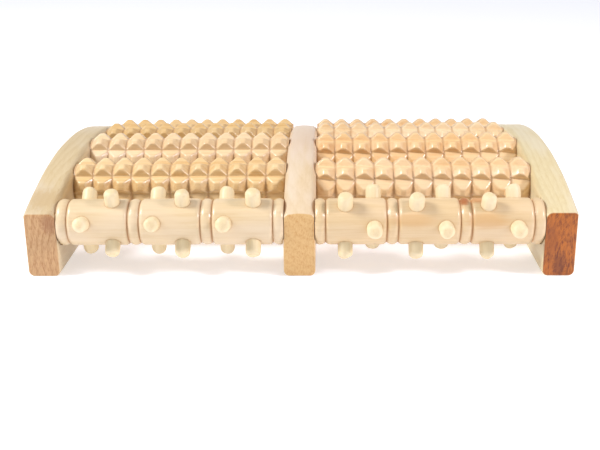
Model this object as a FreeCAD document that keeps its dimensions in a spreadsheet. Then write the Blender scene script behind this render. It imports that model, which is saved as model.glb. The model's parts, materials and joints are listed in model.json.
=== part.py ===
"""Foot massage roller: three arched wooden rails carry five steel axle rods.

Each rod carries one turned roller on each side of the centre rail. The front row has
cylinders set with rounded pegs, and the other four rows have knobbed rollers.

Frame: +X to the user's right, -Y towards the user, +Z up. The origin is the middle of
the centre rail's underside. All lengths are millimetres and all angles are degrees.
"""
import FreeCAD, Part
import math
import os

import Sketcher

DRIVING_SIZES = {
    # Rails
    "overall_width": 280.0,
    "rail_length": 188.0,
    "rail_thickness": 16.5,
    "rail_end_height": 34.0,
    "rail_middle_height": 49.0,
    "rail_top_round": 3.2,
    "rail_foot_round": 3.0,
    "rail_end_round": 1.0,
    # Axle rods, numbered from the front row to the rear row
    "row_spacing": 41.7,
    "axle_height_outer": 26.2,
    "axle_height_inner": 33.5,
    "axle_height_middle": 37.2,
    "axle_diameter": 5.0,
    "axle_socket_depth": 11.0,
    "axle_chamfer": 0.5,
    # Shallow round recesses in the rails, which take the ends of the rollers
    "recess_diameter": 24.6,
    "recess_depth": 1.2,
    "roller_end_play": 0.9,
    "bore_clearance": 0.06,
    # Knobbed rollers
    "knob_crest_radius": 15.2,
    "knob_core_radius": 12.0,
    "knob_ring_count": 11.0,
    "knob_ring_pitch": 10.45,
    "knob_land_width": 2.4,
    "knob_groove_floor": 0.5,
    "flute_count": 8.0,
    "flute_floor_radius": 11.8,
    "flute_included_angle": 104.0,
    "left_flute_tilt": 10.0,
    "right_flute_tilt": 19.0,
    "left_flute_turn": 5.3,
    "right_flute_turn": 16.0,
    # Peg rollers
    "peg_roller_radius": 12.0,
    "peg_roller_body_length": 31.2,
    "peg_roller_band_width": 4.6,
    "peg_roller_groove_width": 1.15,
    "peg_roller_groove_depth": 1.1,
    "peg_roller_end_round": 0.8,
    "peg_diameter": 8.0,
    "peg_tip_radius": 20.0,
    "peg_tip_round": 3.2,
    "peg_socket_radius": 5.5,
    "peg_count": 3.0,
    "peg_ring_gap": 14.6,
    "peg_pair_pitch": 36.0,
    "left_peg_shift": -0.9,
    "right_peg_shift": 0.8,
    "left_peg_turn": 77.0,
    "right_peg_turn": 29.0,
}
ROW_COUNT = 5
PEG_BODY_COUNT = 3
SIDES = {"left": -1, "right": 1}
FULL_TURN = 360.0
CUT_MARGIN = 2.0


class Measure:
    """A number together with the spreadsheet expression that keeps it up to date."""

    def __init__(self, value, expression):
        self.value = value
        self.expression = expression

    def joined(self, other, symbol, value):
        return Measure(value, f"({self.expression} {symbol} {other.expression})")

    def __add__(self, other):
        other = as_measure(other)
        return self.joined(other, "+", self.value + other.value)

    def __sub__(self, other):
        other = as_measure(other)
        return self.joined(other, "-", self.value - other.value)

    def __mul__(self, other):
        other = as_measure(other)
        return self.joined(other, "*", self.value * other.value)

    def __truediv__(self, other):
        other = as_measure(other)
        return self.joined(other, "/", self.value / other.value)

    def __neg__(self):
        return as_measure(0.0) - self


def as_measure(number):
    if isinstance(number, Measure):
        return number
    return Measure(float(number), f"({float(number)})")


def sine(angle):
    return Measure(math.sin(math.radians(angle.value)), f"sin({angle.expression})")


def cosine(angle):
    return Measure(math.cos(math.radians(angle.value)), f"cos({angle.expression})")


def tangent(angle):
    return Measure(math.tan(math.radians(angle.value)), f"tan({angle.expression})")


def make_sheet(doc):
    """Write every driving size into its own named cell."""
    sheet = doc.addObject("Spreadsheet::Sheet", "sizes")
    for row, (alias, number) in enumerate(DRIVING_SIZES.items(), start=1):
        sheet.set(f"A{row}", alias)
        sheet.set(f"B{row}", str(number))
        sheet.setAlias(f"B{row}", alias)
    doc.recompute()


def size(alias):
    return Measure(DRIVING_SIZES[alias], f"sizes.{alias}")


def origin_feature(body, role):
    for feature in body.Origin.OriginFeatures:
        if feature.Role == role:
            return feature
    raise ValueError(f"{body.Label} has no {role}")


def new_body(doc, label):
    body = doc.addObject("PartDesign::Body", label)
    body.Label = label
    body.AllowCompound = True
    return body


def place(body, x, y, z, turn=None):
    """Bind a body's place, and its turn about the X axis, to the sheet."""
    body.Placement = FreeCAD.Placement(
        FreeCAD.Vector(x.value, y.value, z.value),
        FreeCAD.Rotation(FreeCAD.Vector(1, 0, 0), turn.value if turn else 0.0),
    )
    body.setExpression("Placement.Base.x", x.expression)
    body.setExpression("Placement.Base.y", y.expression)
    body.setExpression("Placement.Base.z", z.expression)
    if turn:
        body.setExpression("Placement.Rotation.Angle", turn.expression)


def new_sketch(body, role, name, offset=None, turn=None):
    """Make a sketch on one of the body's origin planes.

    With an offset the sketch is moved that far along its own normal, after the plane has
    been turned about the X axis if a turn is given.
    """
    sketch = body.newObject("Sketcher::SketchObject", name)
    sketch.AttachmentSupport = [(origin_feature(body, role), "")]
    sketch.MapMode = "FlatFace"
    if offset and turn:
        sketch.AttachmentOffset = FreeCAD.Placement(
            FreeCAD.Vector(0, 0, 0),
            FreeCAD.Rotation(FreeCAD.Vector(1, 0, 0), turn.value),
        )
        sketch.setExpression("AttachmentOffset.Rotation.Angle", turn.expression)
        sketch.setExpression("AttachmentOffset.Base.y", (-(offset * sine(turn))).expression)
        sketch.setExpression("AttachmentOffset.Base.z", (offset * cosine(turn)).expression)
    elif offset:
        sketch.setExpression("AttachmentOffset.Base.z", offset.expression)
    return sketch


def bind(sketch, constraint, name, measure):
    index = sketch.addConstraint(constraint)
    sketch.renameConstraint(index, name)
    sketch.setExpression(f"Constraints.{name}", measure.expression)


def fix_point(sketch, edge, vertex, name, x, y):
    """Hold one point of an edge at (x, y), measured from the sketch's origin."""
    across = Sketcher.Constraint("DistanceX", -1, 1, edge, vertex, x.value)
    upward = Sketcher.Constraint("DistanceY", -1, 1, edge, vertex, y.value)
    bind(sketch, across, f"{name}_x", x)
    bind(sketch, upward, f"{name}_y", y)


def add_circle(sketch, name, x, y, radius):
    circle = Part.Circle(FreeCAD.Vector(x.value, y.value, 0), FreeCAD.Vector(0, 0, 1), radius.value)
    edge = sketch.addGeometry(circle, False)
    fix_point(sketch, edge, 3, name, x, y)
    bind(sketch, Sketcher.Constraint("Radius", edge, radius.value), f"{name}_radius", radius)


def arc_between(start, end, radius):
    """Arc of the given radius that turns anticlockwise from start to end."""
    chord = end - start
    middle = (start + end) * 0.5
    to_centre = FreeCAD.Vector(-chord.y, chord.x, 0).normalize()
    reach = math.sqrt(radius ** 2 - (chord.Length / 2) ** 2)
    centre = middle + to_centre * reach
    first = math.atan2(start.y - centre.y, start.x - centre.x)
    last = math.atan2(end.y - centre.y, end.x - centre.x)
    circle = Part.Circle(centre, FreeCAD.Vector(0, 0, 1), radius)
    return Part.ArcOfCircle(circle, first, last)


def add_outline(sketch, name, corners, arcs=None):
    """Join the corners in turn, by a straight edge or by an arc of the given radius."""
    arcs = arcs or {}
    points = [FreeCAD.Vector(x.value, y.value, 0) for x, y in corners]
    edges = []
    for number, start in enumerate(points):
        end = points[(number + 1) % len(points)]
        if number in arcs:
            edges.append(sketch.addGeometry(arc_between(start, end, arcs[number].value), False))
        else:
            edges.append(sketch.addGeometry(Part.LineSegment(start, end), False))
    for number, edge in enumerate(edges):
        following = edges[(number + 1) % len(edges)]
        sketch.addConstraint(Sketcher.Constraint("Coincident", edge, 2, following, 1))
        x, y = corners[number]
        fix_point(sketch, edge, 1, f"{name}_{number}", x, y)
    for number, radius in arcs.items():
        bend = Sketcher.Constraint("Radius", edges[number], radius.value)
        bind(sketch, bend, f"{name}_{number}_radius", radius)


def extrude(body, kind, name, sketch, length, symmetric=False, backwards=False):
    feature = body.newObject(kind, name)
    feature.Profile = sketch
    feature.SideType = "Symmetric" if symmetric else "One side"
    feature.Reversed = backwards
    feature.setExpression("Length", length.expression)
    return feature


def turn_about(body, kind, name, sketch, role):
    feature = body.newObject(kind, name)
    feature.Profile = sketch
    feature.ReferenceAxis = (origin_feature(body, role), [""])
    feature.Angle = FULL_TURN
    return feature


def repeat_round(body, name, original, count):
    pattern = body.newObject("PartDesign::PolarPattern", name)
    pattern.Originals = [original]
    pattern.Axis = (origin_feature(body, "X_Axis"), [""])
    pattern.Angle = FULL_TURN
    pattern.setExpression("Occurrences", count.expression)
    body.Tip = pattern
    return pattern


def round_edges(doc, body, name, base, wanted, radius):
    """Fillet the edges of the base feature for which wanted(edge) is true."""
    doc.recompute()
    names = []
    for number, edge in enumerate(base.Shape.Edges, start=1):
        if wanted(edge):
            names.append(f"Edge{number}")
    fillet = body.newObject("PartDesign::Fillet", name)
    fillet.Base = (base, names)
    fillet.setExpression("Radius", radius.expression)
    return fillet


def row_place(row):
    """Axle centre of a row as (y, z); row 1 is the front row."""
    middle_row = (ROW_COUNT + 1) // 2
    heights = ["axle_height_middle", "axle_height_inner", "axle_height_outer"]
    steps = row - middle_row
    return size("row_spacing") * steps, size(heights[abs(steps)])


def roller_length():
    """Room between two rails, with both recesses, less the play at each end."""
    room = (size("overall_width") - size("rail_thickness") * 3) / 2
    return room + (size("recess_depth") - size("roller_end_play")) * 2


def roller_centre(side):
    return (size("overall_width") - size("rail_thickness")) / 4 * SIDES[side]


def rail_top_radius():
    half = size("rail_length") / 2
    rise = size("rail_middle_height") - size("rail_end_height")
    return (half * half + rise * rise) / (rise * 2)


def row_circles(sketch, radius):
    for row in range(1, ROW_COUNT + 1):
        y, z = row_place(row)
        add_circle(sketch, f"row_{row}", y, z, radius)


def make_rail(doc, label, centre_x, recessed_faces, through_holes):
    """One arched rail: flat foot, arched top, rounded edges, axle holes and recesses.

    recessed_faces lists -1 for the face towards -X and +1 for the face towards +X.
    """
    body = new_body(doc, label)
    thickness = size("rail_thickness")
    half = size("rail_length") / 2
    foot = as_measure(0)
    end_height = size("rail_end_height")

    outline = new_sketch(body, "YZ_Plane", f"{label}_outline")
    corners = [(-half, foot), (half, foot), (half, end_height), (-half, end_height)]
    add_outline(outline, "side", corners, arcs={2: rail_top_radius()})
    plank = extrude(body, "PartDesign::Pad", f"{label}_plank", outline, thickness, symmetric=True)

    top_radius = rail_top_radius().value
    top = round_edges(doc, body, f"{label}_top_round", plank,
                      lambda edge: is_arc(edge, top_radius), size("rail_top_round"))
    feet = round_edges(doc, body, f"{label}_foot_round", top, runs_along_foot,
                       size("rail_foot_round"))
    last = round_edges(doc, body, f"{label}_end_round", feet,
                       lambda edge: lies_on_end(edge, half.value), size("rail_end_round"))

    for face in recessed_faces:
        side = "right" if face > 0 else "left"
        sketch = new_sketch(body, "YZ_Plane", f"{label}_{side}_recess_circles",
                            offset=thickness / 2 * face)
        row_circles(sketch, size("recess_diameter") / 2)
        extrude(body, "PartDesign::Pocket", f"{label}_{side}_recesses", sketch,
                size("recess_depth"), backwards=face < 0)

    holes = new_sketch(body, "YZ_Plane", f"{label}_axle_circles",
                       offset=thickness / 2 * recessed_faces[0])
    row_circles(holes, size("axle_diameter") / 2)
    depth = thickness if through_holes else size("axle_socket_depth")
    extrude(body, "PartDesign::Pocket", f"{label}_axle_holes", holes, depth,
            backwards=recessed_faces[0] < 0)

    place(body, centre_x, as_measure(0), as_measure(0))
    return body


def is_arc(edge, radius):
    return isinstance(edge.Curve, Part.Circle) and abs(edge.Curve.Radius - radius) < 0.01


def runs_along_foot(edge):
    box = edge.BoundBox
    return box.ZMax < 0.01 and box.XLength < 0.01


def lies_on_end(edge, half_length):
    box = edge.BoundBox
    return box.YLength < 0.01 and abs(abs(box.YMin) - half_length) < 0.01


def make_axle_rod(doc, row):
    """A straight steel rod that runs through both rollers of its row."""
    label = f"axle_rod_{row}"
    body = new_body(doc, label)
    wall = size("rail_thickness") - size("axle_socket_depth")
    length = size("overall_width") - wall * 2
    sketch = new_sketch(body, "YZ_Plane", f"{label}_section")
    zero = as_measure(0)
    add_circle(sketch, "rod", zero, zero, size("axle_diameter") / 2)
    rod = extrude(body, "PartDesign::Pad", f"{label}_rod", sketch, length, symmetric=True)
    doc.recompute()
    rims = []
    for number, edge in enumerate(rod.Shape.Edges, start=1):
        if isinstance(edge.Curve, Part.Circle):
            rims.append(f"Edge{number}")
    chamfer = body.newObject("PartDesign::Chamfer", f"{label}_ends")
    chamfer.Base = (rod, rims)
    chamfer.setExpression("Size", size("axle_chamfer").expression)
    y, z = row_place(row)
    place(body, zero, y, z)
    return body


def add_bored_core(body, label, radius):
    """The roller's turned core, bored to run freely on its axle rod."""
    sketch = new_sketch(body, "YZ_Plane", f"{label}_section")
    zero = as_measure(0)
    add_circle(sketch, "outside", zero, zero, radius)
    add_circle(sketch, "bore", zero, zero, size("axle_diameter") / 2 + size("bore_clearance"))
    return extrude(body, "PartDesign::Pad", f"{label}_core", sketch, roller_length(), symmetric=True)


def make_knobbed_roller(doc, side, row):
    """Turned rings with V grooves between them, cut into knobs by leaning V flutes."""
    label = f"{side}_knobbed_roller_{row}"
    body = new_body(doc, label)
    core = size("knob_core_radius")
    crest = size("knob_crest_radius")
    add_bored_core(body, label, core)

    foot_half = (size("knob_ring_pitch") - size("knob_groove_floor")) / 2
    land_half = size("knob_land_width") / 2
    first_ring = -(size("knob_ring_pitch") * (size("knob_ring_count") - 1) / 2)
    root = core - 1
    ring_sketch = new_sketch(body, "XY_Plane", f"{label}_ring_profile")
    corners = [
        (first_ring - foot_half, root),
        (first_ring + foot_half, root),
        (first_ring + foot_half, core),
        (first_ring + land_half, crest),
        (first_ring - land_half, crest),
        (first_ring - foot_half, core),
    ]
    add_outline(ring_sketch, "ring", corners)
    ring = turn_about(body, "PartDesign::Revolution", f"{label}_ring", ring_sketch, "X_Axis")
    rings = body.newObject("PartDesign::LinearPattern", f"{label}_rings")
    rings.Originals = [ring]
    rings.Direction = (origin_feature(body, "X_Axis"), [""])
    rings.setExpression("Length", (size("knob_ring_pitch") * (size("knob_ring_count") - 1)).expression)
    rings.setExpression("Occurrences", size("knob_ring_count").expression)
    body.Tip = rings

    floor = size("flute_floor_radius")
    mouth = crest + CUT_MARGIN
    half_angle = size("flute_included_angle") / 2
    tilt = size(f"{side}_flute_tilt")
    steep_side = (mouth - floor) * tangent(half_angle - tilt)
    slack_side = (mouth - floor) * tangent(half_angle + tilt)
    flute_sketch = new_sketch(body, "YZ_Plane", f"{label}_flute_profile")
    corners = [(floor, as_measure(0)), (mouth, -steep_side), (mouth, slack_side)]
    add_outline(flute_sketch, "flute", corners)
    flute = extrude(body, "PartDesign::Pocket", f"{label}_flute", flute_sketch,
                    roller_length() + CUT_MARGIN, symmetric=True)
    repeat_round(body, f"{label}_flutes", flute, size("flute_count"))

    y, z = row_place(row)
    place(body, roller_centre(side), y, z, size(f"{side}_flute_turn"))
    return body


def groove_places():
    """Middles of the V grooves along a peg roller, measured from the roller's middle."""
    body_half = size("peg_roller_body_length") / 2
    step = size("peg_roller_body_length") + size("peg_roller_band_width") \
        + size("peg_roller_groove_width")
    places = []
    for number in range(PEG_BODY_COUNT):
        middle = step * (number - (PEG_BODY_COUNT - 1) / 2)
        places.append(middle - body_half)
        places.append(middle + body_half)
    return places


def peg_ring_places(side):
    """Middles of the peg rings along a peg roller, in pairs, from left to right."""
    half_gap = size("peg_ring_gap") / 2
    places = []
    for number in range(PEG_BODY_COUNT):
        steps = number - (PEG_BODY_COUNT - 1) / 2
        middle = size("peg_pair_pitch") * steps + size(f"{side}_peg_shift")
        places.append(middle - half_gap)
        places.append(middle + half_gap)
    return places


def stagger(ring):
    """The second ring of each pair is turned half a peg space from the first."""
    half_space = as_measure(FULL_TURN / 2) / size("peg_count")
    return half_space * (ring % 2)


def make_peg_roller(doc, side):
    """A grooved cylinder with blind radial sockets for six rings of pegs."""
    label = f"{side}_peg_roller"
    body = new_body(doc, label)
    radius = size("peg_roller_radius")
    core = add_bored_core(body, label, radius)
    ends = round_edges(doc, body, f"{label}_end_round", core,
                       lambda edge: is_arc(edge, radius.value), size("peg_roller_end_round"))
    body.Tip = ends

    groove_sketch = new_sketch(body, "XY_Plane", f"{label}_groove_profile")
    half_width = size("peg_roller_groove_width") / 2
    depth = size("peg_roller_groove_depth")
    flare = half_width / depth
    above = as_measure(CUT_MARGIN)
    for number, middle in enumerate(groove_places()):
        mouth_half = (depth + above) * flare
        corners = [
            (middle, radius - depth),
            (middle + mouth_half, radius + above),
            (middle - mouth_half, radius + above),
        ]
        add_outline(groove_sketch, f"groove_{number}", corners)
    turn_about(body, "PartDesign::Groove", f"{label}_grooves", groove_sketch, "X_Axis")

    floor = size("peg_socket_radius")
    for half in range(2):
        sketch = new_sketch(body, "XY_Plane", f"{label}_socket_circles_{half + 1}",
                            offset=floor, turn=stagger(half) if half else None)
        for number, x in enumerate(peg_ring_places(side)):
            if number % 2 == half:
                add_circle(sketch, f"socket_{number}", x, as_measure(0), size("peg_diameter") / 2)
        sockets = extrude(body, "PartDesign::Pocket", f"{label}_sockets_{half + 1}", sketch,
                          radius - floor + CUT_MARGIN, backwards=True)
        repeat_round(body, f"{label}_socket_rings_{half + 1}", sockets, size("peg_count"))

    y, z = row_place(1)
    place(body, roller_centre(side), y, z, size(f"{side}_peg_turn"))
    return body


def make_peg_ring(doc, side, ring):
    """Three round-ended pegs, pressed into one ring of sockets."""
    label = f"{side}_peg_roller_pegs_{ring + 1}"
    body = new_body(doc, label)
    radius = size("peg_diameter") / 2
    floor = size("peg_socket_radius")
    tip = size("peg_tip_radius")
    bend = size("peg_tip_round")
    axis = as_measure(0)
    profile = new_sketch(body, "XZ_Plane", f"{label}_profile")
    corners = [
        (axis, floor),
        (radius, floor),
        (radius, tip - bend),
        (radius - bend, tip),
        (axis, tip),
    ]
    add_outline(profile, "peg", corners, arcs={2: bend})
    peg = turn_about(body, "PartDesign::Revolution", f"{label}_peg", profile, "Z_Axis")
    repeat_round(body, f"{label}_ring", peg, size("peg_count"))
    y, z = row_place(1)
    x = roller_centre(side) + peg_ring_places(side)[ring]
    place(body, x, y, z, size(f"{side}_peg_turn") + stagger(ring))
    return body


def make_parts(doc):
    """Build every sub-part and return the bodies in the order of assembly."""
    rail_x = (size("overall_width") - size("rail_thickness")) / 2
    parts = [
        make_rail(doc, "left_rail", -rail_x, [1], False),
        make_rail(doc, "centre_rail", as_measure(0), [1, -1], True),
        make_rail(doc, "right_rail", rail_x, [-1], False),
    ]
    for row in range(1, ROW_COUNT + 1):
        parts.append(make_axle_rod(doc, row))
    for side in SIDES:
        parts.append(make_peg_roller(doc, side))
        for ring in range(2 * PEG_BODY_COUNT):
            parts.append(make_peg_ring(doc, side, ring))
        for row in range(2, ROW_COUNT + 1):
            parts.append(make_knobbed_roller(doc, side, row))
    return parts


def check(doc, parts):
    """Stop if a feature failed, a cut removed nothing or a shape is unsound."""
    for item in doc.Objects:
        if "Invalid" in item.State or "Error" in item.State:
            raise RuntimeError(f"{item.Label} failed: {item.State}")
        if item.TypeId in ("PartDesign::Pocket", "PartDesign::Groove"):
            if item.Shape.Volume >= item.BaseFeature.Shape.Volume - 1.0:
                raise RuntimeError(f"{item.Label} cuts nothing")
    for body in parts:
        if body.Shape.isNull() or not body.Shape.isValid():
            raise RuntimeError(f"{body.Label} has no sound shape")


def main():
    os.makedirs("parts", exist_ok=True)
    doc = FreeCAD.newDocument("foot_massage_roller")
    make_sheet(doc)
    parts = make_parts(doc)
    doc.recompute()
    check(doc, parts)
    for body in parts:
        body.Shape.exportStep(f"parts/{body.Label}.step")
        solids = len(body.Shape.Solids)
        print(f"{body.Label}: {solids} solid(s), {body.Shape.Volume:.0f} mm3")


main()
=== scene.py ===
import json
import math

import bmesh
import bpy
import numpy as np
from mathutils import Matrix, Vector


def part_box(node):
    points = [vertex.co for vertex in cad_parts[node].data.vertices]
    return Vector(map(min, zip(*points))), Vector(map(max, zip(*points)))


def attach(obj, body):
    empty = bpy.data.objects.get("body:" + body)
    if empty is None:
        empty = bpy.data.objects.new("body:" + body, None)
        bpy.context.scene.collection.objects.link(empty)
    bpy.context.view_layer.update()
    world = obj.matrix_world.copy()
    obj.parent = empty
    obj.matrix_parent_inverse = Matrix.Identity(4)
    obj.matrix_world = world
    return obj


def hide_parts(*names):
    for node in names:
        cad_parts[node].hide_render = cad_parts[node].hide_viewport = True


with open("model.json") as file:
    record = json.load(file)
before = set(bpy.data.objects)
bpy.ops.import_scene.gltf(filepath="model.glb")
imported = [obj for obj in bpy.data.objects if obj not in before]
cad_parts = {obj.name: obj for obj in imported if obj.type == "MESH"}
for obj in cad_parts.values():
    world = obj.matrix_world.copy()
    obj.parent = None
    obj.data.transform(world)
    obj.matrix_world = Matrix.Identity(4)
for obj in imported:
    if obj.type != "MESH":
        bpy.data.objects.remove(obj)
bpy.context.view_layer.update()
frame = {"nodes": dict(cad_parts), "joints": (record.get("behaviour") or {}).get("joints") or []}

# Foot massage roller: the visible rails, rollers and pegs, built around the CAD frame.
# Everything is in metres in the CAD's own frame; MM turns millimetres into metres.
MM = 0.001

SIDES = ("left", "right")
KNOBBED_ROWS = (2, 3, 4, 5)
PEG_RINGS = (1, 2, 3, 4, 5, 6)

# Rails. The visible recesses are closer and shallower than the CAD's, so no dark gap shows.
RAIL_FOOT_ROUND = 3.0 * MM
RAIL_END_ROUND = 0.9 * MM
RAIL_END_HEIGHT = 34.0 * MM
SIDE_RAIL_OUTER_ROUND = 2.0 * MM
SIDE_RAIL_INNER_ROUND = 4.0 * MM
CENTRE_RAIL_ROUND = 2.8 * MM
CENTRE_RAIL_SAG = 1.2 * MM
RECESS_RADIUS = 12.1 * MM
RECESS_DEPTH = 0.6 * MM
RECESS_AROUND = 96
STATION_STEP = 1.2 * MM

# Rollers
BORE_RADIUS = 2.56 * MM
KNOB_CREST = 15.2 * MM
KNOB_CORE = 12.0 * MM
KNOB_RINGS = 11
KNOB_PITCH = 10.45 * MM
KNOB_LAND = 2.4 * MM
KNOB_GROOVE_FLOOR = 0.5 * MM
KNOB_AROUND = 240
FLUTES = 8
FLUTE_FLOOR = 11.8 * MM
FLUTE_HALF_ANGLE = math.radians(52)
FLUTE_TILT = {"left": math.radians(10), "right": math.radians(19)}
FLUTE_TURN = {"left": math.radians(5.3), "right": math.radians(16.0)}
FLUTE_SKEW = {"left": 0.0, "right": math.radians(2.6)}
PEG_ROLLER_RADIUS = 12.0 * MM
PEG_ROLLER_BODY = 31.2 * MM
PEG_ROLLER_BAND = 4.6 * MM
PEG_ROLLER_GROOVE = 1.15 * MM
PEG_ROLLER_GROOVE_DEPTH = 1.25 * MM
PEG_ROLLER_STEP = PEG_ROLLER_BODY + PEG_ROLLER_BAND + PEG_ROLLER_GROOVE
PEG_ROLLER_STATION = 0.36 * MM
PEG_ROLLER_AROUND = 176
PEG_RADIUS = 4.0 * MM
PEG_ROOT = 5.5 * MM
PEG_TIP = 20.0 * MM
PEG_COUNT = 3
PEG_AROUND = 48
PEG_TURN = {"left": math.radians(77), "right": math.radians(29)}


# ---------------------------------------------------------------- meshes

def waves(points, seed, scale, count=10):
    """Smooth pseudo-noise between about -1 and 1, the same on every run."""
    random = np.random.RandomState(seed)
    total = np.zeros(len(points))
    for _ in range(count):
        direction = random.normal(size=3)
        direction *= random.uniform(0.6, 1.6) / (np.linalg.norm(direction) * scale)
        total += np.sin(points @ direction * math.tau + random.uniform(0, math.tau))
    return total / math.sqrt(count)


def smooth_min(first, second, width):
    """The smaller of two arrays, with the corner between them rounded over width."""
    share = np.clip(0.5 + 0.5 * (second - first) / width, 0, 1)
    return second * (1 - share) + first * share - width * share * (1 - share)


def smooth_max(first, second, width):
    return -smooth_min(-first, -second, width)


def new_piece(name, points, faces):
    mesh = bpy.data.meshes.new(name)
    mesh.from_pydata([tuple(p) for p in points], [], faces)
    mesh.validate()
    piece = bpy.data.objects.new(name, mesh)
    bpy.context.scene.collection.objects.link(piece)
    return piece


def shade(piece, sharp_angle=38):
    mesh = piece.data
    mesh.polygons.foreach_set("use_smooth", [True] * len(mesh.polygons))
    mesh.set_sharp_from_angle(angle=math.radians(sharp_angle))


def store(piece, name, kind, values):
    """Keep one value, or one vector, for every vertex, for the material to read."""
    field = "vector" if kind == "FLOAT_VECTOR" else "value"
    attribute = piece.data.attributes.new(name, kind, "POINT")
    attribute.data.foreach_set(field, np.asarray(values, np.float32).ravel())


def grid_faces(rings, around, close_rings):
    """Quads between neighbouring rings of points, and from the last ring to the first."""
    faces = []
    for ring in range(rings if close_rings else rings - 1):
        here = ring * around
        there = ((ring + 1) % rings) * around
        for step in range(around):
            following = (step + 1) % around
            faces.append((here + step, here + following, there + following, there + step))
    return faces


def turned_solid(name, centre, stations, angles, radii):
    """A bored solid on an axis along X; radii holds one row of radii per station."""
    bore = np.full((1, len(angles)), BORE_RADIUS)
    radii = np.vstack([bore, radii, bore])
    along = np.concatenate([[stations[0]], stations, [stations[-1]]])
    x = np.repeat(along, len(angles)) + centre.x
    y = (radii * np.cos(angles)).ravel() + centre.y
    z = (radii * np.sin(angles)).ravel() + centre.z
    points = np.column_stack([x, y, z])
    return new_piece(name, points, grid_faces(len(along), len(angles), True))


# ---------------------------------------------------------------- materials

def colour(code):
    """Linear RGBA from a six-digit sRGB code."""
    parts = [int(code[place:place + 2], 16) / 255 for place in (0, 2, 4)]
    linear = [p / 12.92 if p <= 0.04045 else ((p + 0.055) / 1.055) ** 2.4 for p in parts]
    return (*linear, 1.0)


class Shader:
    """One node material with a Principled surface, and short ways to add nodes to it."""

    def __init__(self, name):
        self.material = bpy.data.materials.new(name)
        self.material.use_nodes = True
        self.nodes = self.material.node_tree.nodes
        self.links = self.material.node_tree.links
        self.nodes.clear()
        self.surface = self.nodes.new("ShaderNodeBsdfPrincipled")
        output = self.nodes.new("ShaderNodeOutputMaterial")
        self.links.new(self.surface.outputs["BSDF"], output.inputs["Surface"])

    def feed(self, socket, source):
        if isinstance(source, bpy.types.NodeSocket):
            self.links.new(source, socket)
        else:
            socket.default_value = source

    def attribute(self, name):
        node = self.nodes.new("ShaderNodeAttribute")
        node.attribute_name = name
        return node.outputs

    def maths(self, operation, first, second=0.0, clamp=False):
        node = self.nodes.new("ShaderNodeMath")
        node.operation = operation
        node.use_clamp = clamp
        self.feed(node.inputs[0], first)
        self.feed(node.inputs[1], second)
        return node.outputs[0]

    def vector(self, operation, first, second=(0.0, 0.0, 0.0)):
        node = self.nodes.new("ShaderNodeVectorMath")
        node.operation = operation
        self.feed(node.inputs[0], first)
        self.feed(node.inputs[1], second)
        return node.outputs["Value" if operation in ("LENGTH", "DOT_PRODUCT") else "Vector"]

    def noise(self, vector, stretch, detail=3.0, roughness=0.55, output="Fac"):
        """Noise whose features are about 1 / stretch long in each direction."""
        node = self.nodes.new("ShaderNodeTexNoise")
        self.feed(node.inputs["Vector"], self.vector("MULTIPLY", vector, stretch))
        node.inputs["Scale"].default_value = 1.0
        node.inputs["Detail"].default_value = detail
        node.inputs["Roughness"].default_value = roughness
        return node.outputs[output]

    def step(self, value, low, high, to_low=0.0, to_high=1.0):
        node = self.nodes.new("ShaderNodeMapRange")
        node.interpolation_type = "SMOOTHSTEP"
        self.feed(node.inputs["Value"], value)
        node.inputs["From Min"].default_value = low
        node.inputs["From Max"].default_value = high
        node.inputs["To Min"].default_value = to_low
        node.inputs["To Max"].default_value = to_high
        return node.outputs["Result"]

    def blend(self, share, first, second, mode="MIX"):
        node = self.nodes.new("ShaderNodeMix")
        node.data_type = "RGBA"
        node.blend_type = mode
        self.feed(node.inputs[0], share)
        self.feed(node.inputs[6], first)
        self.feed(node.inputs[7], second)
        return node.outputs[2]


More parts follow.
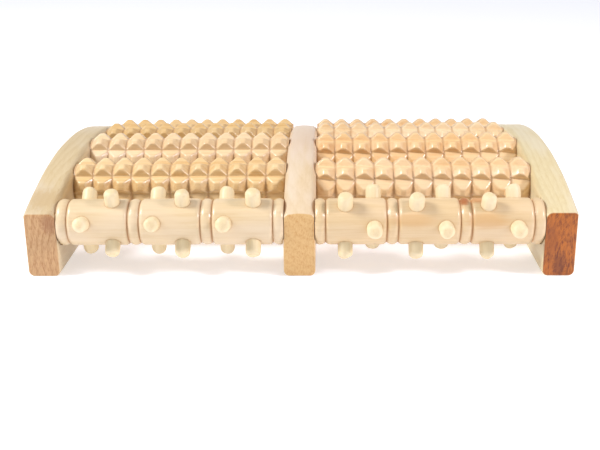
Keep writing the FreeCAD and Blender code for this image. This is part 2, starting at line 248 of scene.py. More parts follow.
def wood(name, pale, deep, end_pale, end_deep, blush, rings=0.45, streaks=0.5, flecks=0.25,
         ring_width=2.6, scratches=0.0, end_start=0.62, gloss=0.36, coat=0.35, groove="A8713F",
         end_rings=0.45, end_stretch=(0.2, 1.9, 1.9), end_contrast=0.6, marks=()):
    """Varnished wood: growth rings, fibres, pores, blotches, end grain, and grooves darkened partly
    by their own tone and partly by painted shade.

    The attribute "wood" holds each point's place in the timber in millimetres, with the
    grain along its X. "grain" is the direction of the grain on the piece, and the third
    attribute is up to 1 in the bottom of a groove or recess and at a peg's root; there the
    colour is drawn towards groove, which is partly the grooves' own darker tone and partly
    painted shade. Each of marks is a patch of colour, a stain or, where noted with the marks,
    painted shade or a painted sheen: its middle and half sizes in metres, its colour and its
    strength.
    """
    s = Shader(name)
    place = s.attribute("wood")["Vector"]
    groove_tone_and_shade = s.attribute("groove_tone_and_shade")["Fac"]

    wander = s.vector("SUBTRACT", s.noise(place, (0.010, 0.045, 0.045), 2.0, 0.5, "Color"),
                      (0.5, 0.5, 0.5))
    bent = s.vector("ADD", place, s.vector("MULTIPLY", wander, (0.0, 11.0, 11.0)))
    from_pith = s.vector("LENGTH", s.vector("MULTIPLY", bent, (0.0, 1.0, 1.0)))
    ring = s.maths("FRACT", s.maths("DIVIDE", from_pith, ring_width))
    late = s.maths("SUBTRACT", s.step(ring, 0.25, 0.92), s.step(ring, 0.94, 1.0))
    fibre = s.noise(place, (0.030, 0.95, 0.95), 6.0, 0.66)
    fine_fibre = s.noise(place, (0.14, 5.5, 5.5), 3.0, 0.6)
    pores = s.step(s.noise(place, (0.42, 4.2, 4.2), 1.0, 0.5), 0.60, 0.74)
    cloud = s.noise(place, (0.016, 0.060, 0.060), 3.0, 0.55)

    tone = s.maths("MULTIPLY", late, rings)
    tone = s.maths("ADD", tone, s.maths("MULTIPLY", s.step(fibre, 0.36, 0.68), streaks))
    tone = s.maths("ADD", tone, s.maths("MULTIPLY", s.maths("SUBTRACT", fine_fibre, 0.5), 0.55))
    tone = s.maths("ADD", tone, s.maths("MULTIPLY", pores, flecks), clamp=True)
    body = s.blend(tone, colour(pale), colour(deep))
    body = s.blend(s.step(cloud, 0.40, 0.66, 0.0, 0.55), body, colour(blush))

    normal = s.nodes.new("ShaderNodeTexCoord").outputs["Normal"]
    facing = s.maths("ABSOLUTE", s.vector("DOT_PRODUCT", normal, s.attribute("grain")["Vector"]))
    end_share = s.step(facing, end_start, 0.97)
    speckle = s.noise(place, end_stretch, 4.0, 0.7)
    end_tone = s.maths("ADD", s.maths("MULTIPLY", late, end_rings),
                       s.step(speckle, 0.42, 0.66, 0.0, end_contrast))
    if scratches:
        across = s.vector("DOT_PRODUCT", place, (0.0, 0.72, -0.69))
        along = s.vector("DOT_PRODUCT", place, (0.0, 0.69, 0.72))
        combined = s.nodes.new("ShaderNodeCombineXYZ")
        s.feed(combined.inputs[0], s.maths("MULTIPLY", across, 2.6))
        s.feed(combined.inputs[1], s.maths("MULTIPLY", along, 0.16))
        scratch_noise = s.noise(combined.outputs[0], (1.0, 1.0, 1.0), 2.0, 0.6)
        end_tone = s.maths("SUBTRACT", end_tone, s.step(scratch_noise, 0.56, 0.70, 0.0, scratches))
    end_tone = s.maths("MAXIMUM", end_tone, 0.0, clamp=True)
    end = s.blend(end_tone, colour(end_pale), colour(end_deep))
    look = s.blend(end_share, body, end)
    # Painted shade in grooves, recesses and at peg roots, with the grooves' own darker tone: the
    # colour is drawn towards groove.
    look = s.blend(s.maths("MULTIPLY", groove_tone_and_shade, 0.85), look, colour(groove))
    on_piece = s.nodes.new("ShaderNodeTexCoord").outputs["Object"]
    # Stains, and the patches of painted shade and painted sheen, laid over the wood.
    for middle, size, tint, strength in marks:
        away = s.vector("LENGTH", s.vector("DIVIDE", s.vector("SUBTRACT", on_piece, middle), size))
        ragged = s.maths("ADD", away, s.maths("MULTIPLY", s.maths("SUBTRACT", fibre, 0.5), 1.6))
        look = s.blend(s.step(ragged, 0.40, 1.15, strength, 0.0), look, colour(tint))
    s.feed(s.surface.inputs["Base Color"], look)

    rough = s.maths("ADD", s.step(cloud, 0.3, 0.7, gloss - 0.05, gloss + 0.08),
                    s.maths("MULTIPLY", fine_fibre, 0.10))
    s.feed(s.surface.inputs["Roughness"], s.maths("ADD", rough, s.maths("MULTIPLY", groove_tone_and_shade, 0.15)))
    s.surface.inputs["IOR"].default_value = 1.46
    s.surface.inputs["Coat Weight"].default_value = coat
    s.surface.inputs["Coat Roughness"].default_value = 0.16
    s.surface.inputs["Coat IOR"].default_value = 1.5

    height = s.maths("ADD", s.maths("MULTIPLY", fine_fibre, 0.5), s.maths("MULTIPLY", fibre, 0.35))
    height = s.maths("SUBTRACT", height, s.maths("MULTIPLY", pores, 0.35))
    bump = s.nodes.new("ShaderNodeBump")
    bump.inputs["Strength"].default_value = 0.35
    bump.inputs["Distance"].default_value = 0.12 * MM
    s.feed(bump.inputs["Height"], height)
    s.feed(s.surface.inputs["Normal"], bump.outputs["Normal"])
    return s.material


def steel(name):
    """Drawn steel rod: fine lines along X, with faint tarnish."""
    s = Shader(name)
    place = s.nodes.new("ShaderNodeTexCoord").outputs["Object"]
    lines = s.noise(place, (60.0, 9000.0, 9000.0), 3.0, 0.6)
    tarnish = s.noise(place, (120.0, 300.0, 300.0), 4.0, 0.6)
    s.feed(s.surface.inputs["Base Color"],
           s.blend(s.step(tarnish, 0.45, 0.75), colour("B9B9BB"), colour("8E8A84")))
    s.surface.inputs["Metallic"].default_value = 1.0
    s.feed(s.surface.inputs["Roughness"], s.step(lines, 0.2, 0.8, 0.22, 0.42))
    bump = s.nodes.new("ShaderNodeBump")
    bump.inputs["Strength"].default_value = 0.2
    bump.inputs["Distance"].default_value = 0.02 * MM
    s.feed(bump.inputs["Height"], lines)
    s.feed(s.surface.inputs["Normal"], bump.outputs["Normal"])
    return s.material


# ---------------------------------------------------------------- rails

def rail_section(half_width, height, inset, rounds, sag):
    """Outline of a rail cut square across, as (x, z) pairs, from the foot round to the foot.

    rounds holds the radii of the left and right top edges, sag is how far those edges lie
    below the middle, and inset draws the whole outline in, for the rounded ends of the rail.
    """
    half = half_width - inset
    foot_round = RAIL_FOOT_ROUND - inset
    low = RAIL_FOOT_ROUND
    sides = []
    for top_round in rounds:
        shoulder = height - inset - top_round
        side = [((half - foot_round) * step / 4, inset) for step in range(5)]
        for step in range(1, 7):
            turn = math.pi / 2 * step / 6
            side.append((half - foot_round + foot_round * math.sin(turn),
                         low - foot_round * math.cos(turn)))
        for step in range(1, 12):
            side.append((half, low + (shoulder - low) * step / 12))
        for step in range(9):
            turn = math.pi / 2 * step / 8
            side.append((half - top_round + top_round * math.cos(turn),
                         shoulder + top_round * math.sin(turn)))
        for step in range(1, 8):
            side.append(((half - top_round) * (1 - step / 7), height - inset))
        sides.append([(x, z - sag * (x / half) ** 2 * min(1.0, max(0.0, z - low) / (shoulder - low)))
                      for x, z in side])
    left, right = sides
    return right + [(-x, z) for x, z in left[-2:0:-1]]


def rail_stations(half_length):
    """Places along the rail, and how far the outline is drawn in there."""
    ends = []
    for turn in np.linspace(0, math.pi / 2, 6):
        ends.append((half_length - RAIL_END_ROUND * (1 - math.cos(turn)),
                     RAIL_END_ROUND * (1 - math.sin(turn))))
    flat = half_length - RAIL_END_ROUND
    inner = np.linspace(flat, -flat, int(2 * flat / STATION_STEP))[1:-1]
    middle = [(place, 0.0) for place in inner]
    back = [(-place, inset) for place, inset in reversed(ends)]
    return ends + middle + back


def make_rail(node, recessed_faces, rounds, sag, pith, seed, material):
    """An arched board with sanded edges and a shallow round recess for each roller end.

    pith is where the middle of the tree lies, to the side of the rail and above its foot, in
    millimetres: it sets how the growth rings cross the ends.
    """
    low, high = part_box(node)
    half_width = (high.x - low.x) / 2
    half_length = (high.y - low.y) / 2
    centre = (low.x + high.x) / 2
    rise = high.z - RAIL_END_HEIGHT
    arch = (half_length ** 2 + rise ** 2) / (2 * rise)
    points = []
    stations = rail_stations(half_length)
    for place, inset in stations:
        height = high.z - arch + math.sqrt(arch ** 2 - place ** 2)
        for x, z in rail_section(half_width, height, inset, rounds, sag):
            points.append((centre + x, place, z))
    points = np.array(points)
    around = len(points) // len(stations)
    faces = grid_faces(len(stations), around, False)
    faces.append(tuple(range(around - 1, -1, -1)))
    faces.append(tuple(range(len(points) - around, len(points))))
    above = np.clip((points[:, 2] - 8 * MM) / (20 * MM), 0, 1)
    points[:, 2] -= above * (0.10 + 0.10 * waves(points, seed, 0.035)) * MM
    rail = new_piece(f"{node}_wood", points, faces)
    bpy.context.view_layer.objects.active = rail
    cutters = []
    for face in recessed_faces:
        for joint in frame["joints"]:
            if joint["name"].startswith("left"):
                cutters.append(make_cutter(centre + face * half_width, face, Vector(joint["pos_m"])))
    for cutter in cutters:
        cut = rail.modifiers.new("recess", "BOOLEAN")
        cut.operation = "DIFFERENCE"
        cut.solver = "EXACT"
        cut.object = cutter
    bake_modifiers(rail)
    for cutter in cutters:
        bpy.data.objects.remove(cutter)
    triangulate(rail)
    shade(rail, 32)

    place = vertex_places(rail)
    timber = np.column_stack([place[:, 1], place[:, 0] - centre, place[:, 2]]) / MM
    timber -= [0.0, pith[0], pith[1]]
    store(rail, "wood", "FLOAT_VECTOR", timber)
    store(rail, "grain", "FLOAT_VECTOR", np.tile([0.0, 1.0, 0.0], (len(place), 1)))
    # Painted shade: the recess floors and walls are drawn a little towards the groove colour.
    store(rail, "groove_tone_and_shade", "FLOAT", recess_shade(place, centre, half_width))
    rail.data.materials.append(material)
    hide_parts(node)
    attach(rail, "frame")


def make_cutter(face_x, face, axle):
    """A short cylinder that reaches RECESS_DEPTH into the rail's face."""
    points = []
    for x in (face_x - face * RECESS_DEPTH, face_x + face * 5 * MM):
        for step in range(RECESS_AROUND):
            turn = math.tau * step / RECESS_AROUND
            points.append((x, axle.y + RECESS_RADIUS * math.cos(turn),
                           axle.z + RECESS_RADIUS * math.sin(turn)))
    faces = grid_faces(2, RECESS_AROUND, False)
    faces.append(tuple(range(RECESS_AROUND - 1, -1, -1)))
    faces.append(tuple(range(RECESS_AROUND, 2 * RECESS_AROUND)))
    if face < 0:
        faces = [tuple(reversed(f)) for f in faces]
    return new_piece("recess_cutter", points, faces)


def bake_modifiers(piece):
    """Replace the piece's mesh by what its modifiers make of it."""
    graph = bpy.context.evaluated_depsgraph_get()
    mesh = bpy.data.meshes.new_from_object(piece.evaluated_get(graph))
    piece.modifiers.clear()
    piece.data = mesh


def triangulate(piece):
    """Split the large flat faces that the cuts leave, so that they shade evenly."""
    grid = bmesh.new()
    grid.from_mesh(piece.data)
    large = [f for f in grid.faces if len(f.verts) > 4]
    bmesh.ops.triangulate(grid, faces=large)
    grid.to_mesh(piece.data)
    grid.free()


def vertex_places(piece):
    places = np.zeros(len(piece.data.vertices) * 3)
    piece.data.vertices.foreach_get("co", places)
    return places.reshape(-1, 3)


def recess_shade(place, centre, half_width):
    """Painted shade in the recesses: 0.2 on the floor and wall of a recess, 0 elsewhere."""
    depth = half_width - np.abs(place[:, 0] - centre)
    share = np.zeros(len(place))
    for joint in frame["joints"]:
        axle = joint["pos_m"]
        reach = np.hypot(place[:, 1] - axle[1], place[:, 2] - axle[2])
        share = np.maximum(share, ((reach < RECESS_RADIUS + 0.02 * MM) & (depth > 0.2 * MM)
                                   & (depth < RECESS_DEPTH + 0.05 * MM)) * 0.2)
    return share


# ---------------------------------------------------------------- rollers

def joint_centre(side, row):
    for joint in frame["joints"]:
        if joint["name"] == f"{side}_roller_{row}_spin":
            return Vector(joint["pos_m"])
    raise ValueError(f"no joint for the {side} roller of row {row}")


def roller_timber(piece, centre, seed):
    """Places in the timber: the grain runs along the axle and the pith lies off to one side."""
    random = np.random.RandomState(seed)
    place = vertex_places(piece)
    turn = random.uniform(0, math.tau)
    y = place[:, 1] - centre.y
    z = place[:, 2] - centre.z
    timber = np.column_stack([
        place[:, 0] - centre.x,
        y * math.cos(turn) - z * math.sin(turn),
        y * math.sin(turn) + z * math.cos(turn),
    ]) / MM
    timber += random.uniform([-400, 14, -10], [400, 46, 10])
    store(piece, "wood", "FLOAT_VECTOR", timber)
    store(piece, "grain", "FLOAT_VECTOR", np.tile([1.0, 0.0, 0.0], (len(place), 1)))


def knob_stations(half):
    """Places along a knobbed roller: closer together at the creases of each ring."""
    foot = (KNOB_PITCH - KNOB_GROOVE_FLOOR) / 2 / MM
    land = KNOB_LAND / 2 / MM
    side = [0.0, 0.45, land - 0.3, land - 0.12, land, land + 0.12, land + 0.3, 2.0, 2.45, 2.9, 3.35,
            3.8, 4.2, 4.55, foot - 0.15, foot]
    local = sorted({round(sign * place, 4) for place in side for sign in (-1, 1)})
    stations = [-half]
    for number in range(KNOB_RINGS):
        middle = (number - (KNOB_RINGS - 1) / 2) * KNOB_PITCH
        stations += [middle + place * MM for place in local]
    stations.append(half)
    return np.array(stations)


def flute_radii(turns, side):
    """Radius left by one V flute at each angle from its floor; its two faces lean unequally."""
    slack = FLUTE_HALF_ANGLE + FLUTE_TILT[side]
    steep = FLUTE_HALF_ANGLE - FLUTE_TILT[side]
    faces = []
    for half_angle, sign in ((slack, 1), (steep, -1)):
        reach = np.cos(turns) - sign * np.sin(turns) / math.tan(half_angle)
        faces.append(FLUTE_FLOOR / np.maximum(reach, 0.2))
    return smooth_max(faces[0], faces[1], 0.22 * MM)


def knob_radii(stations, angles, side, seed):
    """Turned rings with rounded crests, cut by leaning V flutes, as a grid of radii."""
    foot_half = (KNOB_PITCH - KNOB_GROOVE_FLOOR) / 2
    slope = (KNOB_CREST - KNOB_CORE) / (foot_half - KNOB_LAND / 2)
    number = np.clip(np.round(stations / KNOB_PITCH), -(KNOB_RINGS // 2), KNOB_RINGS // 2)
    off_middle = stations - number * KNOB_PITCH
    flank = KNOB_CREST + (KNOB_LAND / 2 - np.abs(off_middle)) * slope
    ring = smooth_min(np.full_like(flank, KNOB_CREST), flank, 0.55 * MM)
    ring = smooth_max(ring, np.full_like(ring, KNOB_CORE), 0.12 * MM)

    random = np.random.RandomState(seed)
    ring_turns = random.normal(0, math.radians(0.5), KNOB_RINGS)
    ring_turn = ring_turns[(number + KNOB_RINGS // 2).astype(int)]
    lean = FLUTE_SKEW[side] * off_middle / foot_half
    space = math.tau / FLUTES
    from_flute = angles[None, :] - FLUTE_TURN[side] - (ring_turn + lean)[:, None]
    from_flute = (from_flute + space / 2) % space - space / 2
    flutes = np.minimum(flute_radii(from_flute, side), flute_radii(from_flute + space, side))

    grid_x = np.repeat(stations, len(angles))
    grid_turn = np.tile(angles, len(stations))
    spots = np.column_stack([grid_x, KNOB_CREST * np.cos(grid_turn), KNOB_CREST * np.sin(grid_turn)])
    uneven = (waves(spots, seed, 0.014) - 0.8).reshape(flutes.shape) * 0.07 * MM
    flutes = flutes + waves(spots, seed + 50, 0.012).reshape(flutes.shape) * 0.10 * MM
    radii = smooth_min(ring[:, None] + uneven, flutes, 0.60 * MM)
    radii = np.clip(radii, FLUTE_FLOOR - 0.2 * MM, KNOB_CREST)
    for end in (slice(0, 2), slice(-2, None)):
        radii[end] = np.minimum(radii[end], KNOB_CORE - 0.03 * MM)
    return radii


def make_knobbed_roller(side, row, seed, material):
    node = f"{side}_knobbed_roller_{row}"
    low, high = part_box(node)
    half = (high.x - low.x) / 2
    centre = joint_centre(side, row)
    stations = knob_stations(half)
    angles = np.arange(KNOB_AROUND) * math.tau / KNOB_AROUND
    radii = knob_radii(stations, angles, side, seed)
    roller = turned_solid(f"{node}_wood", centre, stations, angles, radii)
    roller_timber(roller, centre, seed)
    bore = np.ones((1, len(angles)))
    depth = (KNOB_CREST - radii) / (KNOB_CREST - KNOB_CORE)
    groove = np.clip(np.abs(stations % KNOB_PITCH / KNOB_PITCH - 0.5) * 2, 0, 1)[:, None]
    # Painted shade, with the grooves' own darker tone: darker deep down in the V-grooves between the
    # rings.
    groove_tone_and_shade = np.clip((depth - 0.62) / 0.38, 0, 1) * np.clip(1 - groove * 5, 0, 1) * 0.8
    store(roller, "groove_tone_and_shade", "FLOAT", np.vstack([bore, groove_tone_and_shade, bore]))
    shade(roller, 60)
    roller.data.materials.append(material)
    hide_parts(node)
    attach(roller, f"{side}_roller_{row}")


def peg_roller_grooves():
    middles = []
    for number in (-1, 0, 1):
        middles.append(number * PEG_ROLLER_STEP - PEG_ROLLER_BODY / 2)
        middles.append(number * PEG_ROLLER_STEP + PEG_ROLLER_BODY / 2)
    return np.array(middles)


def peg_turns(side, ring):
    """Angles of a ring's pegs; the second ring of a pair is turned half a peg space."""
    space = math.tau / PEG_COUNT
    first = math.pi / 2 + PEG_TURN[side] + (space / 2 if ring % 2 == 0 else 0.0)
    return [first + space * number for number in range(PEG_COUNT)]


def peg_places(side):
    """(place along X, angle about the axle) of each peg of a roller."""
    pegs = []
    centre = joint_centre(side, 1)
    for ring in PEG_RINGS:
        low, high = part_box(f"{side}_peg_roller_pegs_{ring}")
        pegs += [((low.x + high.x) / 2 - centre.x, turn) for turn in peg_turns(side, ring)]
    return pegs


def make_peg_roller(side, seed, material):
    node = f"{side}_peg_roller"
    low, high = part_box(node)
    half = (high.x - low.x) / 2
    centre = joint_centre(side, 1)
    stations = np.linspace(-half, half, int(2 * half / PEG_ROLLER_STATION) + 1)
    angles = np.arange(PEG_ROLLER_AROUND) * math.tau / PEG_ROLLER_AROUND

    to_groove = np.min(np.abs(stations[:, None] - peg_roller_grooves()[None, :]), axis=1)
    bands = np.array([-1.5, -0.5, 0.5, 1.5]) * PEG_ROLLER_STEP
    to_band = np.min(np.abs(stations[:, None] - bands[None, :]), axis=1)
    bead = 0.85 * MM * np.clip(to_band / (PEG_ROLLER_BAND / 2), 0, 1) ** 2.2
    shoulder = 2.0 * MM
    into = np.clip(shoulder - np.maximum(to_groove - 0.35 * MM, 0), 0, shoulder)
    edge = np.minimum(0.7 * (shoulder - np.sqrt(shoulder ** 2 - into ** 2)), 0.9 * MM)
    soft = np.where(to_band < PEG_ROLLER_STEP / 2 - PEG_ROLLER_BODY / 2, bead, edge)
    slot = PEG_ROLLER_GROOVE_DEPTH * np.clip(1.3 - to_groove / (0.50 * MM), 0, 1)
    drop = smooth_max(slot, soft, 0.12 * MM)
    end_round = 1.0 * MM
    to_end = np.clip(end_round - (half - np.abs(stations)), 0, end_round)
    drop = np.maximum(drop, end_round - np.sqrt(end_round ** 2 - to_end ** 2))
    radii = np.repeat((PEG_ROLLER_RADIUS - drop)[:, None], len(angles), axis=1)

    crease = np.zeros_like(radii)
    for place, turn in peg_places(side):
        across = PEG_ROLLER_RADIUS * ((angles - turn + math.pi) % math.tau - math.pi)
        reach = np.hypot(stations[:, None] - place, across[None, :])
        crease = np.maximum(crease, np.clip(1 - (reach - PEG_RADIUS) / (0.45 * MM), 0, 1)
                            * (reach > PEG_RADIUS * 0.8))
    grid_x = np.repeat(stations, len(angles))
    grid_turn = np.tile(angles, len(stations))
    spots = np.column_stack([grid_x, PEG_ROLLER_RADIUS * np.cos(grid_turn),
                             PEG_ROLLER_RADIUS * np.sin(grid_turn)])
    uneven = (waves(spots, seed, 0.03).reshape(radii.shape) - 1.0) * 0.04 * MM
    radii = radii + uneven - crease * 0.12 * MM

    roller = turned_solid(f"{node}_wood", centre, stations, angles, radii)
    roller_timber(roller, centre, seed)
    # Painted shade, with the grooves' own darker tone: darker in the bottom of each groove, and
    # painted shade in the crease round each peg's root.
    groove = np.clip((drop - 0.70 * MM) / (0.45 * MM), 0, 1)[:, None] * np.ones_like(radii)
    groove_tone_and_shade = np.maximum(groove, crease * 0.35)
    bore = np.ones((1, len(angles)))
    store(roller, "groove_tone_and_shade", "FLOAT", np.vstack([bore, groove_tone_and_shade, bore]))
    shade(roller, 50)
    roller.data.materials.append(material)
    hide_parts(node)
    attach(roller, f"{side}_roller_1")


def make_pegs(side, ring, seed, material):
    """Round-ended dowels, each a little different in width, length and tip."""
    node = f"{side}_peg_roller_pegs_{ring}"
    random = np.random.RandomState(seed)
    low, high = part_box(node)
    centre = joint_centre(side, 1)
    root = np.array([(low.x + high.x) / 2, centre.y, centre.z])
    rise = np.linspace(0, math.pi / 2, 16)[1:]
    points, timber, grain, faces = [], [], [], []
    for turn in peg_turns(side, ring):
        outward = np.array([0.0, math.cos(turn), math.sin(turn)])
        sideways = np.array([0.0, -math.sin(turn), math.cos(turn)])
        radius = PEG_RADIUS * random.uniform(0.93, 1.0)
        tip = PEG_TIP - random.uniform(0.0, 0.5) * MM
        dome = random.uniform(3.0, 3.9) * MM
        power = random.uniform(2.0, 2.7)
        shaft = np.linspace(PEG_ROOT, tip - dome, 16)
        heights = np.concatenate([shaft, tip - dome + dome * np.sin(rise)])
        widths = np.concatenate([np.full(len(shaft), radius),
                                 radius * (1 - np.sin(rise) ** power) ** (1 / power)])
        widths[-1] = 0.12 * MM
        offset = random.uniform([-300, 6, -6], [300, 22, 6])
        first = len(points)
        for height, width in zip(heights, widths):
            for angle in np.arange(PEG_AROUND) * math.tau / PEG_AROUND:
                a, b = width * math.cos(angle), width * math.sin(angle)
                points.append(root + outward * height + sideways * b + np.array([a, 0.0, 0.0]))
                timber.append(np.array([height, a, b]) / MM + offset)
                grain.append(outward)
        block = grid_faces(len(heights), PEG_AROUND, False)
        faces += [tuple(first + corner for corner in reversed(face)) for face in block]
        faces.append(tuple(first + step for step in range(PEG_AROUND)))
        top = first + (len(heights) - 1) * PEG_AROUND
        faces.append(tuple(top + step for step in range(PEG_AROUND - 1, -1, -1)))
    points = np.array(points)
    away = points - root
    reach = np.hypot(away[:, 1], away[:, 2])
    tips = np.clip((reach - 13 * MM) / (5 * MM), 0, 1)
    shrink = 1 - 0.010 * tips * (1 + waves(points, seed, 0.006))
    pegs = new_piece(f"{node}_wood", root + away * shrink[:, None], faces)
    store(pegs, "wood", "FLOAT_VECTOR", timber)
    store(pegs, "grain", "FLOAT_VECTOR", grain)
    # Painted shade at each peg's root, where it meets the roller.
    store(pegs, "groove_tone_and_shade", "FLOAT", np.clip(1 - (reach - 11.8 * MM) / (0.6 * MM), 0, 1) * 0.5)
    shade(pegs, 50)
    pegs.data.materials.append(material)
    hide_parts(node)
    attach(pegs, f"{side}_roller_1")


# ---------------------------------------------------------------- the object

# Stains on a piece at rest, with painted shade on the left rail's inner edge and a painted sheen on
# the centre rail's arch: middle and half sizes in metres, colour, strength.
RAIL_MARKS = {
    "left": [
        ((-0.1275, -0.0940, 0.0290), (0.0045, 0.0060, 0.0060), "95603A", 0.6),
        ((-0.1320, -0.0820, 0.0385), (0.0120, 0.0140, 0.0060), "BA9C6B", 0.6),
        # Painted shade: a darker strip along the left rail's inner rounding and face.
        ((-0.1235, -0.0640, 0.0370), (0.0030, 0.0320, 0.0120), "AE8F5E", 0.6),
    ],
    "centre": [
        # Painted sheen: a pale lilac tint over the top of the centre rail's arch.
        ((0.0, 0.0150, 0.0480), (0.0200, 0.0600, 0.0300), "DFC8B8", 0.5),
    ],
    "right": [
        ((0.1320, -0.0940, 0.0060), (0.0040, 0.0060, 0.0080), "682C0C", 0.6),
        ((0.1270, -0.0940, 0.0200), (0.0050, 0.0060, 0.0100), "8A4416", 0.4),
    ],
}
PEG_ROLLER_MARKS = {
    "left": [],
    "right": [
        ((0.0836, -0.0850, 0.0375), (0.0030, 0.0060, 0.0040), "A9622C", 0.95),
        ((0.0905, -0.0840, 0.0380), (0.0050, 0.0050, 0.0030), "CC8F55", 0.80),
        ((0.0570, -0.0945, 0.0300), (0.0140, 0.0050, 0.0045), "CFA065", 0.50),
        ((0.0945, -0.0945, 0.0300), (0.0130, 0.0050, 0.0050), "CB9A5E", 0.55),
    ],
}

# Pale, deep and blush colours of each roller's wood.
ROLLER_TINTS = {
    ("left", 2): ("E7C996", "D1A260", "E9D1A7"),
    ("left", 3): ("EBD1A8", "D7B17E", "EEDABD"),
    ("left", 4): ("DBBC86", "C79D5F", "DEC498"),
    ("left", 5): ("DABA83", "C5985A", "DDC193"),
    ("right", 2): ("F0D1A3", "DDB27B", "F2DAB8"),
    ("right", 3): ("ECCA96", "D7A066", "EFD5AB"),
    ("right", 4): ("EAD0A5", "D5A872", "EDDAB9"),
    ("right", 5): ("E8C99B", "D2A36B", "EBD3AE"),
}

PEG_ROLLER_TINTS = {
    "left": ("DFC8A1", "CCAB79", "E2CDAF"),
    "right": ("DDC297", "C9A672", "E0C7A4"),
}


def build_rails():
    left = wood("left_rail_wood", "D2BE99", "BEA372", "CBA272", "A46F3E", "D3C6B2",
                rings=0.26, streaks=0.30, ring_width=3.4, end_rings=0.30,
                end_stretch=(0.2, 1.6, 0.35), coat=0.15, marks=RAIL_MARKS["left"])
    centre = wood("centre_rail_wood", "DFC8A7", "CDB182", "D9B276", "C48D4B", "E2D3C1",
                  rings=0.20, streaks=0.30, ring_width=4.2, scratches=0.5, end_rings=0.20,
                  end_stretch=(0.2, 1.2, 0.7), coat=0.15, marks=RAIL_MARKS["centre"])
    right = wood("right_rail_wood", "DDCEA6", "C9B27C", "B86616", "581C02", "DED5BE",
                 rings=0.24, streaks=0.32, ring_width=3.0, scratches=0.55, end_rings=0.15,
                 end_stretch=(0.2, 0.80, 0.22), end_contrast=0.7, coat=0.15,
                 marks=RAIL_MARKS["right"])
    make_rail("left_rail", [1], (SIDE_RAIL_OUTER_ROUND, SIDE_RAIL_INNER_ROUND), 0.0,
              (70.0, 5.0), 11, left)
    make_rail("centre_rail", [1, -1], (CENTRE_RAIL_ROUND, CENTRE_RAIL_ROUND), CENTRE_RAIL_SAG,
              (-45.0, -60.0), 12, centre)
    make_rail("right_rail", [-1], (SIDE_RAIL_INNER_ROUND, SIDE_RAIL_OUTER_ROUND), 0.0,
              (-80.0, 40.0), 13, right)


def build_rollers():
    for side_number, side in enumerate(SIDES):
        pale, deep, blush = PEG_ROLLER_TINTS[side]
        peg_roller_wood = wood(f"{side}_peg_roller_wood", pale, deep, "E0B983", "C4935A", blush,
                               rings=0.14, streaks=0.26, flecks=0.12, ring_width=3.8, end_start=0.8,
                               marks=PEG_ROLLER_MARKS[side])
        peg_wood = wood(f"{side}_peg_wood", "E9D6AE", "DAC08C", "E7D2A8", "DEC392", "ECDBB8",
                        rings=0.12, streaks=0.25, flecks=0.12, ring_width=3.0, end_start=0.75,
                        groove="C9A26C", end_rings=0.10, gloss=0.48, coat=0.12)
        make_peg_roller(side, 31 + side_number, peg_roller_wood)
        for ring in PEG_RINGS:
            make_pegs(side, ring, 40 + 10 * side_number + ring, peg_wood)
        for row in KNOBBED_ROWS:
            pale, deep, blush = ROLLER_TINTS[side, row]
            roller_wood = wood(f"{side}_row_{row}_wood", pale, deep, deep, "B97E45", blush,
                               rings=0.30, streaks=0.40, flecks=0.18, ring_width=3.2, end_start=0.55,
                               gloss=0.30, coat=0.5)
            make_knobbed_roller(side, row, 60 + 10 * side_number + row, roller_wood)


def finish_axles():
    material = steel("axle_steel_finish")
    for row in range(1, 6):
        rod = frame["nodes"][f"axle_rod_{row}"]
        rod.data.materials.clear()
        rod.data.materials.append(material)


# ---------------------------------------------------------------- stage

def make_floor():
    floor = new_piece("floor", [(-4, -3, 0), (4, -3, 0), (4, 6, 0), (-4, 6, 0)], [(0, 1, 2, 3)])
    s = Shader("floor_white")
    place = s.nodes.new("ShaderNodeTexCoord").outputs["Object"]
    mottle = s.noise(place, (6.0, 6.0, 6.0), 3.0, 0.5)
    s.feed(s.surface.inputs["Base Color"], s.blend(mottle, colour("E6E8F3"), colour("E8EAF5")))
    s.surface.inputs["Roughness"].default_value = 0.7
    s.surface.inputs["Specular IOR Level"].default_value = 0.1
    s.surface.inputs["Emission Color"].default_value = (1.0, 0.997, 0.998, 1.0)
    s.surface.inputs["Emission Strength"].default_value = 0.42
    floor.data.materials.append(s.material)


def add_area(name, place, target, size, energy, tint):
    lamp = bpy.data.lights.new(name, "AREA")
    lamp.shape = "DISK"
    lamp.size = size
    lamp.energy = energy
    lamp.color = tint
    holder = bpy.data.objects.new(name, lamp)
    bpy.context.scene.collection.objects.link(holder)
    holder.location = place
    holder.rotation_euler = (Vector(target) - Vector(place)).to_track_quat("-Z", "Y").to_euler()


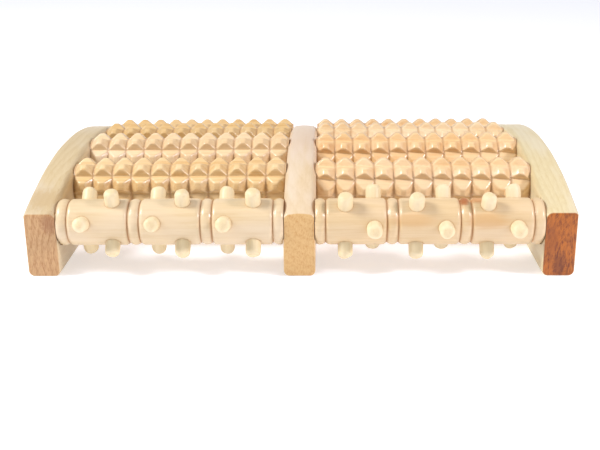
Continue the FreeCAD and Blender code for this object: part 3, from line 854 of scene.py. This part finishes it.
def make_light():
    """A studio that is brightest overhead and pale at the horizon, with two soft lamps."""
    world = bpy.data.worlds.new("studio")
    bpy.context.scene.world = world
    world.use_nodes = True
    nodes = world.node_tree.nodes
    links = world.node_tree.links
    background = nodes["Background"]
    background.inputs["Color"].default_value = (0.97, 0.98, 1.0, 1.0)
    place = nodes.new("ShaderNodeTexCoord")
    height = nodes.new("ShaderNodeSeparateXYZ")
    links.new(place.outputs["Generated"], height.inputs[0])
    sky = []
    for reach, low, high in ((1.0, 0.14, 0.66), (0.25, 1.0, 0.14)):
        part = nodes.new("ShaderNodeMapRange")
        part.inputs["From Min"].default_value = 0.0
        part.inputs["From Max"].default_value = reach
        part.inputs["To Min"].default_value = low
        part.inputs["To Max"].default_value = high
        links.new(height.outputs["Z"], part.inputs["Value"])
        sky.append(part)
    brighter = nodes.new("ShaderNodeMath")
    brighter.operation = "MAXIMUM"
    links.new(sky[0].outputs["Result"], brighter.inputs[0])
    links.new(sky[1].outputs["Result"], brighter.inputs[1])
    links.new(brighter.outputs[0], background.inputs["Strength"])
    add_area("key", (-0.94, -0.22, 0.88), (0.0, 0.0, 0.02), 0.42, 14.5, (1.0, 0.985, 0.965))
    add_area("spark", (0.75, -0.30, 0.50), (0.0, -0.03, 0.03), 0.16, 4.5, (1.0, 0.93, 0.97))


def make_camera():
    """Camera a little right of the middle, looking down at the front row."""
    camera = bpy.data.cameras.new("camera")
    camera.sensor_width = 36.0
    camera.lens = 60.0
    holder = bpy.data.objects.new("camera", camera)
    bpy.context.scene.collection.objects.link(holder)
    pan, tilt, roll = -0.0267, 0.3318, 0.0110
    ahead = Vector((math.sin(pan) * math.cos(tilt), math.cos(pan) * math.cos(tilt), -math.sin(tilt)))
    level = Vector((math.cos(pan), -math.sin(pan), 0.0))
    down = ahead.cross(level)
    right = math.cos(roll) * level + math.sin(roll) * down
    down = math.cos(roll) * down - math.sin(roll) * level
    holder.matrix_world = Matrix((
        (right.x, -down.x, -ahead.x, 0.01319),
        (right.y, -down.y, -ahead.y, -0.57069),
        (right.z, -down.z, -ahead.z, 0.19215),
        (0, 0, 0, 1),
    ))
    bpy.context.scene.camera = holder
    bpy.context.scene.view_settings.view_transform = "Standard"


make_camera()
build_rails()
build_rollers()
finish_axles()
make_floor()
make_light()
